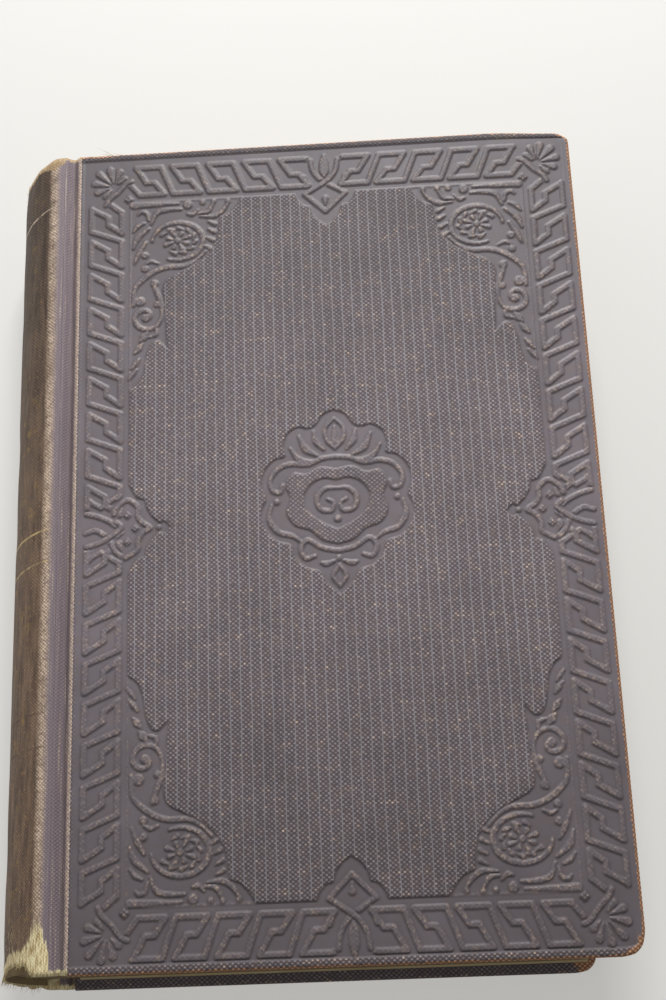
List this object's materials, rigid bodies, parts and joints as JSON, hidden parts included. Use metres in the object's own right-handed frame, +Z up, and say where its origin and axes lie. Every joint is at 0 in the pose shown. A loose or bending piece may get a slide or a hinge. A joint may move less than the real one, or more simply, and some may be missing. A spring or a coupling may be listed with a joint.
{
  "type": "cloth-bound bible",
  "caption": "Thick old octavo bible in blind-stamped cloth over boards, with a rounded sewn text block, a hinged front cover and leaves that open in the middle.",
  "frame": {"origin": "centre of the bounding box's lowest face, which is the outer face of the rear cover that the book lies on", "axes": "+Z up through the thickness, +X towards the fore-edge, -X the spine, +Y towards the head, -Y the tail"},
  "size_m": [0.171, 0.2434, 0.042],
  "materials": {
    "cover_cloth": "bead-grain book cloth, faded aubergine, blind stamped, worn at the edges",
    "spine_cloth": "the same cloth sunned brown, frayed at both caps",
    "board": "grey-tan pasteboard",
    "inlay_card": "thin card",
    "endpaper": "plain aged endpaper",
    "text_paper": "aged laid text paper, browned at the edges",
    "lining_paper": "brown lining paper with old glue",
    "mull": "open-weave scrim",
    "cord": "hemp cord"
  },
  "bodies": {
    "rear_half": {"rear_board": "board", "rear_cover_cloth": "cover_cloth", "rear_pastedown": "endpaper", "rear_flyleaf": "endpaper", "rear_joint_cloth": "cover_cloth", "spine_cloth": "spine_cloth", "spine_inlay": "inlay_card", "back_lining": "lining_paper", "mull": "mull", "sewing_cords": "cord", "gathering_01": "text_paper", "gathering_02": "text_paper", "gathering_03": "text_paper", "gathering_04": "text_paper", "gathering_05": "text_paper", "gathering_06": "text_paper", "gathering_07": "text_paper", "gathering_08": "text_paper", "gathering_09": "text_paper", "gathering_10": "text_paper", "gathering_11": "text_paper", "gathering_12": "text_paper"},
    "front_half": {"front_joint_cloth": "cover_cloth", "gathering_13": "text_paper", "gathering_14": "text_paper", "gathering_15": "text_paper", "gathering_16": "text_paper", "gathering_17": "text_paper", "gathering_18": "text_paper", "gathering_19": "text_paper", "gathering_20": "text_paper", "gathering_21": "text_paper", "gathering_22": "text_paper", "gathering_23": "text_paper", "gathering_24": "text_paper"},
    "front_cover": {"front_board": "board", "front_cover_cloth": "cover_cloth", "front_pastedown": "endpaper"},
    "front_flyleaf": {"front_flyleaf": "endpaper"},
    "turning_leaf_1": {"turning_leaf_1": "text_paper"},
    "turning_leaf_2": {"turning_leaf_2": "text_paper"},
    "turning_leaf_3": {"turning_leaf_3": "text_paper"}
  },
  "joints": [
    {"name": "middle_open", "type": "hinge", "parent": "rear_half", "child": "front_half", "pos_m": [-0.08325, 0, 0.021], "axis": [0, -1, 0], "range_deg": [0, 180], "deforming": ["spine_cloth", "spine_inlay", "back_lining", "mull", "sewing_cords"]},
    {"name": "front_cover_open", "type": "hinge", "parent": "front_half", "child": "front_cover", "pos_m": [-0.06501, 0, 0.042], "axis": [0, -1, 0], "range_deg": [0, 175]},
    {"name": "front_flyleaf_turn", "type": "hinge", "parent": "front_half", "child": "front_flyleaf", "pos_m": [-0.06101, 0, 0.0385], "axis": [0, -1, 0], "range_deg": [0, 90]},
    {"name": "turning_leaf_1_turn", "type": "hinge", "parent": "rear_half", "child": "turning_leaf_1", "pos_m": [-0.08325, 0, 0.021], "axis": [0, -1, 0], "range_deg": [0, 45]},
    {"name": "turning_leaf_2_turn", "type": "hinge", "parent": "rear_half", "child": "turning_leaf_2", "pos_m": [-0.08325, 0, 0.021], "axis": [0, -1, 0], "range_deg": [0, 90]},
    {"name": "turning_leaf_3_turn", "type": "hinge", "parent": "rear_half", "child": "turning_leaf_3", "pos_m": [-0.08325, 0, 0.021], "axis": [0, -1, 0], "range_deg": [0, 135]}
  ],
  "couplings": [
    {"joint": "front_flyleaf_turn", "follows": "front_cover_open", "ratio": 0.5},
    {"joint": "turning_leaf_1_turn", "follows": "middle_open", "ratio": 0.25},
    {"joint": "turning_leaf_2_turn", "follows": "middle_open", "ratio": 0.5},
    {"joint": "turning_leaf_3_turn", "follows": "middle_open", "ratio": 0.75}
  ]
}
